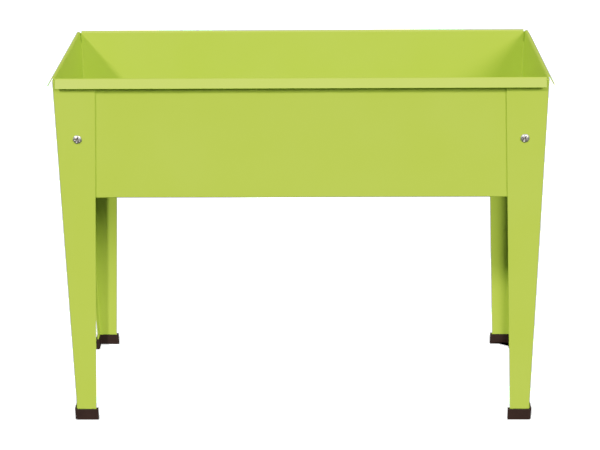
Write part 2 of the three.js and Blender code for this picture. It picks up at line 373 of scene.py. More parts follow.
class Sketch:
    """Adds nodes to one node tree and joins them."""

    def __init__(self, tree: NodeTree) -> None:
        """Starts with an empty tree."""
        self.tree = tree
        tree.nodes.clear()

    def add(self, kind: str, **settings: object) -> Node:
        """Adds a node.

        Args:
            kind: The node's type name.
            **settings: Its properties.

        Returns:
            The node.
        """
        node = self.tree.nodes.new(kind)
        for name, value in settings.items():
            setattr(node, name, value)
        return node

    def join(self, source: NodeSocket, target: NodeSocket) -> None:
        """Joins an output to an input."""
        self.tree.links.new(source, target)

    def feed(self, target: NodeSocket, value: object) -> None:
        """Joins an input to a socket, or gives it a plain value."""
        if isinstance(value, NodeSocket):
            self.join(value, target)
        else:
            target.default_value = value

    def set(self, node: Node, **values: object) -> None:
        """Feeds inputs of a node by name, with _ for a space."""
        for name, value in values.items():
            self.feed(node.inputs[name.replace("_", " ")], value)

    def math(self, operation: str, *values: object) -> NodeSocket:
        """A Math node.

        Args:
            operation: Its operation.
            *values: A socket or a number for each input.

        Returns:
            Its output.
        """
        node = self.add("ShaderNodeMath", operation=operation)
        for number, value in enumerate(values):
            self.feed(node.inputs[number], value)
        return node.outputs[0]

    def noise(self, place: NodeSocket, size: object, detail: float) -> NodeSocket:
        """A Noise Texture's value.

        Args:
            place: The coordinates that it reads.
            size: A socket or a number, the size of a wave in metres.
            detail: How many finer layers it has.

        Returns:
            Its value, around a half.
        """
        node = self.add("ShaderNodeTexNoise")
        self.set(node, Vector=place, Scale=self.math("DIVIDE", 1.0, size), Detail=detail)
        return node.outputs[0]

    def remap(self, value: NodeSocket, old: Flat, new: Flat) -> NodeSocket:
        """A Map Range node, clamped.

        Args:
            value: What is mapped.
            old: The range that comes in.
            new: The range that goes out.

        Returns:
            Its output.
        """
        node = self.add("ShaderNodeMapRange")
        for number, bound in enumerate((*old, *new), start=1):
            node.inputs[number].default_value = bound
        self.join(value, node.inputs[0])
        return node.outputs[0]

    def blend(self, share: object, first: object, second: object) -> NodeSocket:
        """A colour mix.

        Args:
            share: How much of the second colour there is.
            first: The first colour.
            second: The second colour.

        Returns:
            The mixed colour.
        """
        node = self.add("ShaderNodeMix", data_type="RGBA")
        for number, value in ((0, share), (6, first), (7, second)):
            self.feed(node.inputs[number], value)
        return node.outputs[2]


def add_sockets(tree: NodeTree, inputs: dict[str, str], outputs: dict[str, str]) -> None:
    """Gives a node tree its sockets.

    Args:
        tree: The tree.
        inputs: For each input, its socket type.
        outputs: For each output, its socket type.
    """
    for direction, sockets in (("INPUT", inputs), ("OUTPUT", outputs)):
        for label, kind in sockets.items():
            tree.interface.new_socket(label, in_out=direction, socket_type=kind)


def node_group(
    name: str, inputs: dict[str, str], outputs: dict[str, str]
) -> tuple[NodeTree, Sketch, Node, Node]:
    """Starts a shader node group.

    Args:
        name: The group's name.
        inputs: For each input, its socket type.
        outputs: For each output, its socket type.

    Returns:
        The group, a sketch of it, its input node and its output node.
    """
    group = bpy.data.node_groups.new(name, "ShaderNodeTree")
    add_sockets(group, inputs, outputs)
    sketch = Sketch(group)
    return group, sketch, sketch.add("NodeGroupInput"), sketch.add("NodeGroupOutput")


FLOAT = "NodeSocketFloat"
VECTOR = "NodeSocketVector"
COLOUR = "NodeSocketColor"
GEOMETRY = "NodeSocketGeometry"
OBJECT = "NodeSocketObject"
MATERIAL = "NodeSocketMaterial"
WHOLE_NUMBER = "NodeSocketInt"


@dataclass(frozen=True)
class Effects:
    """The shader node groups that the finishes share."""

    relief: NodeTree
    drift: NodeTree
    # edge mask group: painted highlight on the powder coat's edges, rubbed wear on the plastic's
    wear: NodeTree

    @classmethod
    def build(cls) -> "Effects":
        """Builds each group once."""
        return cls(cls.build_relief(), cls.build_drift(), cls.build_wear())

    @staticmethod
    def build_relief() -> NodeTree:
        """Fine unevenness: soft waves with a finer grain on them.

        Returns:
            The group, which puts out a height and the grain alone.
        """
        group, sketch, entry, leave = node_group(
            "surface_relief",
            {"Place": VECTOR, "Wave Size": FLOAT, "Grain Size": FLOAT, "Grain Share": FLOAT},
            {"Height": FLOAT, "Grain": FLOAT},
        )
        place = entry.outputs["Place"]
        waves = sketch.noise(place, entry.outputs["Wave Size"], detail=2.0)
        grain = sketch.noise(place, entry.outputs["Grain Size"], detail=1.0)
        fine = sketch.math("MULTIPLY", grain, entry.outputs["Grain Share"])
        sketch.join(sketch.math("ADD", waves, fine), leave.inputs["Height"])
        sketch.join(grain, leave.inputs["Grain"])
        return group

    @staticmethod
    def build_drift() -> NodeTree:
        """A slow change of tone over the surface.

        Returns:
            The group, which puts out a colour and the pattern behind it.
        """
        group, sketch, entry, leave = node_group(
            "tone_drift",
            {"Place": VECTOR, "Patch Size": FLOAT, "First": COLOUR, "Second": COLOUR},
            {"Color": COLOUR, "Pattern": FLOAT},
        )
        patches = sketch.noise(entry.outputs["Place"], entry.outputs["Patch Size"], detail=3.0)
        pattern = sketch.remap(patches, (0.35, 0.65), (0, 1))
        colour = sketch.blend(pattern, entry.outputs["First"], entry.outputs["Second"])
        sketch.join(colour, leave.inputs["Color"])
        sketch.join(pattern, leave.inputs["Pattern"])
        return group

    @staticmethod
    def build_wear() -> NodeTree:
        """Where the edges change tone: the edge facets, broken up by a noise. On the powder coat this
        is partly a thinner coat and partly a painted highlight; on the plastic it is rubbed wear, and
        on the zinc plate the edges turn lighter.

        Returns:
            The group, which puts out a mask.
        """
        group, sketch, entry, leave = node_group(
            "edge_wear_and_highlight",
            {"Place": VECTOR, "Edge": FLOAT, "Break Size": FLOAT, "Amount": FLOAT},
            {"Mask": FLOAT},
        )
        # the edge facets' mask: a painted highlight on the powder coat, wear on the plastic
        breaks = sketch.noise(entry.outputs["Place"], entry.outputs["Break Size"], detail=4.0)
        broken = sketch.remap(breaks, NOISE_RANGE, (0, 1))
        rub_and_shine = sketch.math("MULTIPLY", entry.outputs["Edge"], broken)
        sketch.join(sketch.math("MULTIPLY", rub_and_shine, entry.outputs["Amount"]), leave.inputs["Mask"])
        return group


@dataclass(frozen=True)
class Finish:
    """A surface finish: two close tones, their relief, their gloss and what the edges do."""

    name: str
    first_tone: tuple[float, float, float]
    second_tone: tuple[float, float, float]
    edge_tone: tuple[float, float, float]
    roughness: tuple[float, float]
    wave_size: float
    grain_size: float
    grain_share: float
    relief_depth: float
    patch_size: float = 120 * MM
    edge_break: float = 9 * MM
    edge_amount: float = 0.5
    edge_roughness: float = 0.2
    metallic: float = 0.0
    specular: float = 0.5

    def material(self, effects: Effects) -> Material:
        """Builds the material.

        Args:
            effects: The shared node groups.

        Returns:
            The material.
        """
        made = bpy.data.materials.new(self.name)
        made.use_nodes = True
        sketch = Sketch(made.node_tree)
        place = sketch.add("ShaderNodeTexCoord").outputs["Object"]
        edge = sketch.add("ShaderNodeAttribute", attribute_name=EDGE_ATTRIBUTE).outputs["Fac"]

        drift = sketch.add("ShaderNodeGroup", node_tree=effects.drift)
        sketch.set(drift, Place=place, Patch_Size=self.patch_size)
        sketch.set(drift, First=(*self.first_tone, 1), Second=(*self.second_tone, 1))

        wear = sketch.add("ShaderNodeGroup", node_tree=effects.wear)
        sketch.set(wear, Place=place, Edge=edge, Break_Size=self.edge_break, Amount=self.edge_amount)

        relief = sketch.add("ShaderNodeGroup", node_tree=effects.relief)
        sketch.set(relief, Place=place, Wave_Size=self.wave_size)
        sketch.set(relief, Grain_Size=self.grain_size, Grain_Share=self.grain_share)

        # edge tone on the edge mask: on the powder coat a painted highlight mixed with a thinner coat,
        # on the plastic rubbed wear
        colour = sketch.blend(wear.outputs["Mask"], drift.outputs["Color"], (*self.edge_tone, 1))
        gloss = sketch.remap(relief.outputs["Grain"], NOISE_RANGE, self.roughness)
        rub_and_shine = sketch.math("MULTIPLY", wear.outputs["Mask"], self.edge_roughness)
        gloss = sketch.math("ADD", gloss, rub_and_shine)

        bump = sketch.add("ShaderNodeBump")
        sketch.set(bump, Height=relief.outputs["Height"], Distance=self.relief_depth, Strength=1.0)

        shader = sketch.add("ShaderNodeBsdfPrincipled")
        sketch.set(shader, Base_Color=colour, Roughness=gloss, Normal=bump.outputs["Normal"])
        sketch.set(shader, Metallic=self.metallic, Specular_IOR_Level=self.specular)
        output = sketch.add("ShaderNodeOutputMaterial")
        sketch.set(output, Surface=shader.outputs["BSDF"])
        return made


POWDER_COAT = Finish(
    name="lime powder coat",
    first_tone=(0.420, 0.600, 0.046),
    second_tone=(0.432, 0.612, 0.052),
    # lighter, yellower edge tone: partly a thinner coat, partly a painted highlight along the sheet
    # edges
    edge_tone=(0.480, 0.650, 0.090),
    roughness=(0.48, 0.56),
    wave_size=2.6 * MM,
    grain_size=0.45 * MM,
    grain_share=0.25,
    relief_depth=0.035 * MM,
    edge_amount=0.12,
    specular=0.35,
)

MOULDED_PLASTIC = Finish(
    name="brown moulded plastic",
    first_tone=(0.0165, 0.0068, 0.0044),
    second_tone=(0.0210, 0.0092, 0.0062),
    edge_tone=(0.034, 0.0190, 0.0150),
    roughness=(0.42, 0.56),
    wave_size=1.1 * MM,
    grain_size=0.30 * MM,
    grain_share=0.6,
    relief_depth=0.05 * MM,
    patch_size=25 * MM,
    edge_break=4 * MM,
    specular=0.35,
)

ZINC_PLATE = Finish(
    name="bright zinc plate",
    first_tone=(0.44, 0.41, 0.375),
    second_tone=(0.54, 0.51, 0.475),
    edge_tone=(0.66, 0.64, 0.61),
    roughness=(0.40, 0.52),
    wave_size=1.4 * MM,
    grain_size=0.25 * MM,
    grain_share=0.5,
    relief_depth=0.012 * MM,
    patch_size=4 * MM,
    edge_break=1.5 * MM,
    edge_amount=0.6,
    edge_roughness=0.04,
    metallic=1.0,
)


# --- geometry node trees


class NodeTool:
    """A Geometry Nodes tree with named inputs that can be put on an object as a modifier."""

    def __init__(self, name: str, inputs: dict[str, str]) -> None:
        """Makes the tree with its sockets.

        Args:
            name: The tree's name.
            inputs: The socket type of each input after Geometry.
        """
        self.tree = bpy.data.node_groups.new(name, "GeometryNodeTree")
        geometry = {"Geometry": GEOMETRY}
        add_sockets(self.tree, geometry | inputs, geometry)
        self.sketch = Sketch(self.tree)
        self.entry = self.sketch.add("NodeGroupInput")
        self.leave = self.sketch.add("NodeGroupOutput")

    def end(self, geometry: NodeSocket) -> None:
        """Closes the tree with Realize Instances and Set Material.

        Args:
            geometry: What the tree has made.
        """
        real = self.sketch.add("GeometryNodeRealizeInstances")
        self.sketch.join(geometry, real.inputs[0])
        paint = self.sketch.add("GeometryNodeSetMaterial")
        self.sketch.set(paint, Geometry=real.outputs[0], Material=self.entry.outputs["Finish"])
        self.sketch.join(paint.outputs[0], self.leave.inputs[0])

    def aim(self) -> NodeSocket:
        """Nodes that turn Z to the direction stored on each point.

        Returns:
            The rotation.
        """
        axis = self.sketch.add("GeometryNodeInputNamedAttribute", data_type="FLOAT_VECTOR")
        self.sketch.set(axis, Name=AXIS_ATTRIBUTE)
        align = self.sketch.add("FunctionNodeAlignRotationToVector", axis="Z")
        self.sketch.set(align, Vector=axis.outputs["Attribute"])
        return align.outputs["Rotation"]

    def attach(self, made: Object, **values: object) -> None:
        """Adds the tree to an object as a modifier.

        Args:
            made: The object.
            **values: The inputs by name, with _ for a space.
        """
        modifier = made.modifiers.new(self.tree.name, "NODES")
        modifier.node_group = self.tree
        sockets = {
            item.name: item.identifier
            for item in self.tree.interface.items_tree
            if item.item_type == "SOCKET" and item.in_out == "INPUT"
        }
        for label, value in values.items():
            modifier[sockets[label.replace("_", " ")]] = value


class HoleDrill(NodeTool):
    """Drills a round hole through a sheet at each station."""

    hole_sides: int = 32

    def __init__(self) -> None:
        """Builds the tree."""
        sockets = {"Stations": OBJECT, "Diameter": FLOAT, "Depth": FLOAT, "Finish": MATERIAL}
        super().__init__("drill_holes", sockets)
        sketch, entry = self.sketch, self.entry
        drill = sketch.add("GeometryNodeMeshCylinder")
        radius = sketch.math("MULTIPLY", entry.outputs["Diameter"], 0.5)
        sketch.set(drill, Vertices=self.hole_sides, Radius=radius, Depth=entry.outputs["Depth"])
        stations = sketch.add("GeometryNodeObjectInfo")
        sketch.set(stations, Object=entry.outputs["Stations"])
        place = sketch.add("GeometryNodeInstanceOnPoints")
        sketch.set(place, Points=stations.outputs["Geometry"], Instance=drill.outputs["Mesh"])
        sketch.set(place, Rotation=self.aim())
        drills = sketch.add("GeometryNodeRealizeInstances")
        sketch.join(place.outputs[0], drills.inputs[0])
        cut = sketch.add("GeometryNodeMeshBoolean", operation="DIFFERENCE", solver="EXACT")
        sketch.join(entry.outputs["Geometry"], cut.inputs[0])
        sketch.join(drills.outputs[0], cut.inputs[1])
        self.end(cut.outputs[0])

    def put_on(
        self,
        sheet: Object,
        stations: Object,
        diameter: float,
        reach: float,
        finish: Material,
    ) -> None:
        """Drills a sheet."""
        self.attach(sheet, Stations=stations, Diameter=diameter, Depth=reach, Finish=finish)


class PieceRepeater(NodeTool):
    """Puts one modelled piece at each station, turned about its axis by a seeded angle."""

    def __init__(self) -> None:
        """Builds the tree."""
        sockets = {"Piece": OBJECT, "Seed": WHOLE_NUMBER, "Most Turn": FLOAT, "Finish": MATERIAL}
        super().__init__("repeat_piece", sockets)
        sketch, entry = self.sketch, self.entry
        piece = sketch.add("GeometryNodeObjectInfo")
        sketch.set(piece, Object=entry.outputs["Piece"])
        angle = sketch.add("FunctionNodeRandomValue", data_type="FLOAT")
        sketch.join(entry.outputs["Most Turn"], angle.inputs[3])
        sketch.set(angle, Seed=entry.outputs["Seed"])
        roll = sketch.add("FunctionNodeAxisAngleToRotation")
        sketch.set(roll, Axis=(0, 0, 1), Angle=angle.outputs[1])
        turned = sketch.add("FunctionNodeRotateRotation", rotation_space="LOCAL")
        sketch.set(turned, Rotation=self.aim(), Rotate_By=roll.outputs[0])
        place = sketch.add("GeometryNodeInstanceOnPoints")
        sketch.set(place, Points=entry.outputs["Geometry"], Instance=piece.outputs["Geometry"])
        sketch.set(place, Rotation=turned.outputs[0])
        self.end(place.outputs[0])


def stations_object(name: str, stations: Sequence[tuple[Vector, Vector]]) -> Object:
    """A cloud of points, each with a direction.

    Args:
        name: The object's name.
        stations: The points and their directions.

    Returns:
        The object, which is removed before the end.
    """
    made = mesh_object(name, [tuple(point) for point, _ in stations], [])
    store = made.data.attributes.new(AXIS_ATTRIBUTE, "FLOAT_VECTOR", "POINT")
    store.data.foreach_set("vector", [value for _, axis in stations for value in axis])
    made.hide_render = True
    return made


# --- the trough


@dataclass
class Trough:
    """The folded sheet trough: floor, four walls, and a lip that turns out over each wall."""

    layout: Layout
    sheet: float = TROUGH_SHEET
    corner_radius: float = 3 * MM
    floor_fold_radius: float = 2.5 * MM
    lip_inner_radius: float = 1.5 * MM
    lip_angle: float = math.radians(31)
    lip_flat: float = 13.6 * MM
    slit_width: float = 2 * MM
    slit_depth: float = 20 * MM
    drain_diameter: float = 10 * MM
    drain_columns: int = 5
    drain_rows: int = 2
    drain_pitch: float = 140 * MM
    drill_reach: float = 24 * MM
    edge_radius: float = 0.45 * MM
    wall_bays: int = 6
    wall_rows: int = 4
    bend_steps: int = 10
    fold_steps: int = 4

    @property
    def bend_height(self) -> float:
        """The height of the lip bend's centre."""
        return self.layout.height - self.lip_inner_radius - self.sheet

    def outline(self) -> tuple[list[tuple[Vector, Vector]], list[str]]:
        """The trough's outer face seen from above.

        Returns:
            Points with their outward directions, from the front left corner round, closed by
            its first point again, and the kind of stretch after each: wall, corner or slit.
        """
        radius = self.corner_radius
        slit_half = math.asin(self.slit_width / 2 / radius)
        eighth = QUARTER_TURN / 2
        bends = [0, (eighth - slit_half) / 2, eighth - slit_half, eighth]
        bends += [eighth + slit_half, (3 * eighth + slit_half) / 2, QUARTER_TURN]
        kinds = ["corner"] * 2 + ["slit"] * 2 + ["corner"] * 2 + ["wall"] * self.wall_bays
        centre_x = self.layout.trough_half_length - radius
        centre_y = self.layout.trough_half_width - radius
        corners = []
        for number, (side_x, side_y) in enumerate(((-1, -1), (1, -1), (1, 1), (-1, 1))):
            centre = Vector((side_x * centre_x, side_y * centre_y, 0))
            angles = [math.pi + number * QUARTER_TURN + bend for bend in bends]
            outs = [Vector((math.cos(angle), math.sin(angle), 0)) for angle in angles]
            corners.append([(centre + radius * out, out) for out in outs])
        points = []
        for corner, following in zip(corners, corners[1:] + corners[:1]):
            before, out = corner[-1]
            step = (following[0][0] - before) / self.wall_bays
            points += corner + [(before + step * bay, out) for bay in range(1, self.wall_bays)]
        return points + points[:1], kinds * len(corners)

    def section(self) -> tuple[list[Flat], int, int]:
        """The wall's outer face from the floor to the lip's edge, as (outwards, height).

        Returns:
            The points, the number of the row at the slit's foot, and that of the bend's start.
        """
        fold = self.floor_fold_radius
        floor = self.layout.trough_floor
        points = arc((-fold, floor + fold), fold, -QUARTER_TURN, 0, self.fold_steps)
        slit_foot = self.layout.height - self.slit_depth
        step = (slit_foot - floor - fold) / self.wall_rows
        points += [(0.0, floor + fold + step * row) for row in range(1, self.wall_rows + 1)]
        slit_row = len(points) - 1
        centre = (self.lip_inner_radius, self.bend_height)
        bend = arc(centre, self.lip_inner_radius, math.pi, self.lip_angle, self.bend_steps)
        bend_row = len(points)
        points += bend
        down = (math.sin(self.lip_angle), -math.cos(self.lip_angle))
        for share in (0.5, 1.0):
            reach = share * self.lip_flat
            points.append((bend[-1][0] + reach * down[0], bend[-1][1] + reach * down[1]))
        return points, slit_row, bend_row

    def sheet_face(self) -> Object:
        """The outer face of the sheet, with the floor closed and the corners slit.

        Returns:
            The object.
        """
        outline, stretches = self.outline()
        section, slit_row, bend_row = self.section()
        rows = [
            [(at.x + out.x * reach, at.y + out.y * reach, height) for at, out in outline]
            for reach, height in section
        ]

        faces = []
        for number, face in enumerate(lattice(len(rows), len(outline))):
            row, place = divmod(number, len(stretches))
            solid = ("wall",) if row >= bend_row else ("wall", "corner")
            if row < slit_row or stretches[place] in solid:
                faces.append(face)
        points = [point for row in rows for point in row]
        floor = tuple(reversed(range(len(outline) - 1)))
        made = mesh_object("trough sheet", points, [*faces, floor])
        merge_close(made)
        return made

    def drain_stations(self) -> list[tuple[Vector, Vector]]:
        """Where the floor's drain holes are.

        Returns:
            Points on the floor, each with the direction down through it.
        """
        spots = []
        for column in range(self.drain_columns):
            for row in range(self.drain_rows):
                x = (column - (self.drain_columns - 1) / 2) * self.drain_pitch
                y = (row - (self.drain_rows - 1) / 2) * self.drain_pitch
                spots.append((Vector((x, y, self.layout.trough_floor)), Vector((0, 0, -1))))
        return spots

    def build(self, drill: HoleDrill, bolts: Object, paint: Material) -> None:
        """Builds the finished trough.

        Args:
            drill: The tool that drills the holes.
            bolts: The stations of the bolts.
            paint: The trough's finish.
        """
        made = self.sheet_face()
        thicken(made, self.sheet)
        round_edges(made, self.edge_radius, 2)
        drains = stations_object("drain stations", self.drain_stations())
        drill.put_on(made, drains, self.drain_diameter, self.drill_reach, paint)
        drill.put_on(made, bolts, BOLT_HOLE, self.drill_reach, paint)
        piece = settle(made, "trough_folded")
        bpy.data.objects.remove(drains)
        dress(piece, paint, ["trough"])


# --- legs and feet


@dataclass(frozen=True)
class Taper:
    """A flange's width, which grows evenly from the floor to the rim."""

    at_floor: float
    at_rim: float
    rim_height: float

    def width(self, height: float) -> float:
        """The width at a height."""
        return self.at_floor + (self.at_rim - self.at_floor) * height / self.rim_height


@dataclass
class CornerLeg:
    """One leg, folded from sheet, and the cap on its foot."""

    layout: Layout
    corner: Corner
    sheet: float = LEG_SHEET
    fold_radius: float = 3.5 * MM
    fold_steps: int = 8
    end_steps: int = 3
    edge_radius: float = 0.5 * MM
    leg_rows: int = 7
    drill_reach: float = 9 * MM
    cap_height: float = 20 * MM
    cap_floor: float = 3 * MM
    cap_wall: float = 3.1 * MM
    cap_inner_wall: float = 1.3 * MM
    cap_corner_radius: float = 5 * MM
    cap_end_radius: float = 1.4 * MM
    slot_end_radius: float = 0.4 * MM
    least_inner_radius: float = 0.5 * MM
    cap_edge_radius: float = 0.9 * MM
    tapers: dict[Flange, Taper] = field(init=False)

    def __post_init__(self) -> None:
        """Sets the two flanges' widths."""
        rim = self.layout.height
        self.tapers = {
            Flange.FACE: Taper(31.5 * MM, 65.5 * MM, rim),
            Flange.SIDE: Taper(19 * MM, 58 * MM, rim),
        }

    def widths(self, height: float) -> Flat:
        """The widths of the flanges along the corner's own X and Y at a height."""
        along_x, along_y = self.corner.flanges
        return self.tapers[along_x].width(height), self.tapers[along_y].width(height)

    def placed(self, points: Sequence[Point]) -> list[Point]:
        """Points in the corner's own axes, moved to the part's frame."""
        place = self.layout.fold_line(self.corner)
        return [tuple(place @ Vector(point)) for point in points]

    def leg_row(self, height: float) -> list[Point]:
        """The leg's outer face at a height, in the corner's own axes, from edge to edge.

        Args:
            height: The height.

        Returns:
            The points from one free edge round the fold to the other.
        """
        along_x, along_y = self.widths(height)
        radius = self.fold_radius
        bend = arc((radius, radius), radius, math.pi, 3 * QUARTER_TURN, self.fold_steps)
        near = 2 * self.edge_radius
        row = [(0, along_y), (0, along_y - near), *bend, (along_x - near, 0), (along_x, 0)]
        return [(x, y, height) for x, y in row]

    def build_leg(self, drill: HoleDrill, bolts: Object, paint: Material) -> None:
        """Builds the leg.

        Args:
            drill: The tool that drills the bolt holes.
            bolts: The stations of the bolts.
            paint: The leg's finish.
        """
        low, high = self.layout.leg_bottom, self.layout.leg_top
        step = (high - low) / (self.leg_rows - 1)
        points = []
        for row in range(self.leg_rows):
            points += self.placed(self.leg_row(low + step * row))
        made = mesh_object("leg sheet", points, lattice(self.leg_rows, len(points) // self.leg_rows))
        merge_close(made)
        thicken(made, self.sheet)
        round_edges(made, self.edge_radius, 3)
        drill.put_on(made, bolts, BOLT_HOLE, self.drill_reach, paint)
        piece = settle(made, f"leg_folded_{self.corner.label}")
        dress(piece, paint, [f"leg_{self.corner.label}"])

    def cap_outline(
        self, start: float, reach: Flat, thickness: float, fold: float, end: float
    ) -> list[Flat]:
        """An L seen from above, its fold at the origin side and its arms along X and Y.

        Args:
            start: Where its outer faces lie.
            reach: Where its arms end, along X and along Y.
            thickness: The arms' thickness.
            fold: The radius of the outer fold.
            end: The radius of the arms' end corners.

        Returns:
            The outline, counter-clockwise.
        """
        inner = start + thickness
        inner_radius = max(fold - thickness, self.least_inner_radius)
        bend = inner + inner_radius
        right, back = reach
        half_turn = math.pi
        return [
            *arc((start + fold, start + fold), fold, half_turn, 3 * QUARTER_TURN, self.fold_steps),
            *arc((right - end, start + end), end, -QUARTER_TURN, 0, self.end_steps),
            *arc((right - end, inner - end), end, 0, QUARTER_TURN, self.end_steps),
            *arc((bend, bend), inner_radius, 3 * QUARTER_TURN, half_turn, self.fold_steps // 2),
            *arc((inner - end, back - end), end, 0, QUARTER_TURN, self.end_steps),
            *arc((start + end, back - end), end, QUARTER_TURN, half_turn, self.end_steps),
        ]

    def build_cap(self, plastic: Material) -> None:
        """Builds the foot cap: an L block with a slot that holds the leg's end.

        Args:
            plastic: The cap's finish.
        """
        start = -CLEARANCE - self.cap_wall
        slot_width = self.sheet + 2 * CLEARANCE
        slot_reach = tuple(width + CLEARANCE for width in self.widths(self.cap_height))
        reach = tuple(slot + self.cap_wall for slot in slot_reach)
        thickness = self.cap_wall + slot_width + self.cap_inner_wall
        slot_fold = self.fold_radius + CLEARANCE
        outer = self.cap_outline(start, reach, thickness, self.cap_corner_radius, self.cap_end_radius)
        slot = self.cap_outline(-CLEARANCE, slot_reach, slot_width, slot_fold, self.slot_end_radius)
        top = self.cap_height
        levels = ((outer, 0.0), (outer, top), (slot, top), (slot, self.cap_floor))
        points = [(x, y, height) for loop, height in levels for x, y in loop]
        count = len(outer)
        faces = lattice(len(levels), count, closed=True)
        faces.append(tuple(reversed(range(count))))
        faces.append(tuple(range(len(points) - count, len(points))))
        made = mesh_object("cap body", self.placed(points), faces)
        round_edges(made, self.cap_edge_radius, 3)
        piece = settle(made, f"foot_cap_moulded_{self.corner.label}")
        dress(piece, plastic, [f"foot_cap_{self.corner.label}"])


# --- fasteners


def turned_piece(
    name: str, profile: Sequence[Flat], sides: int, radius_at: Callable[[float, float, float], float]
) -> Object:
    """A closed piece turned about Z.

    Args:
        name: The object's name.
        profile: (radius, height) from one end of the axis to the other.
        sides: The number of facets round it.
        radius_at: Gives the true radius for a profile radius, a height and an angle.

    Returns:
        The object.
    """
    points = []
    for radius, height in profile:
        for side in range(sides):
            angle = FULL_TURN * side / sides
            true = radius_at(radius, height, angle)
            points.append((true * math.cos(angle), true * math.sin(angle), height))
    made = mesh_object(name, points, lattice(len(profile), sides, closed=True))
    merge_close(made, outwards=True)
    return made


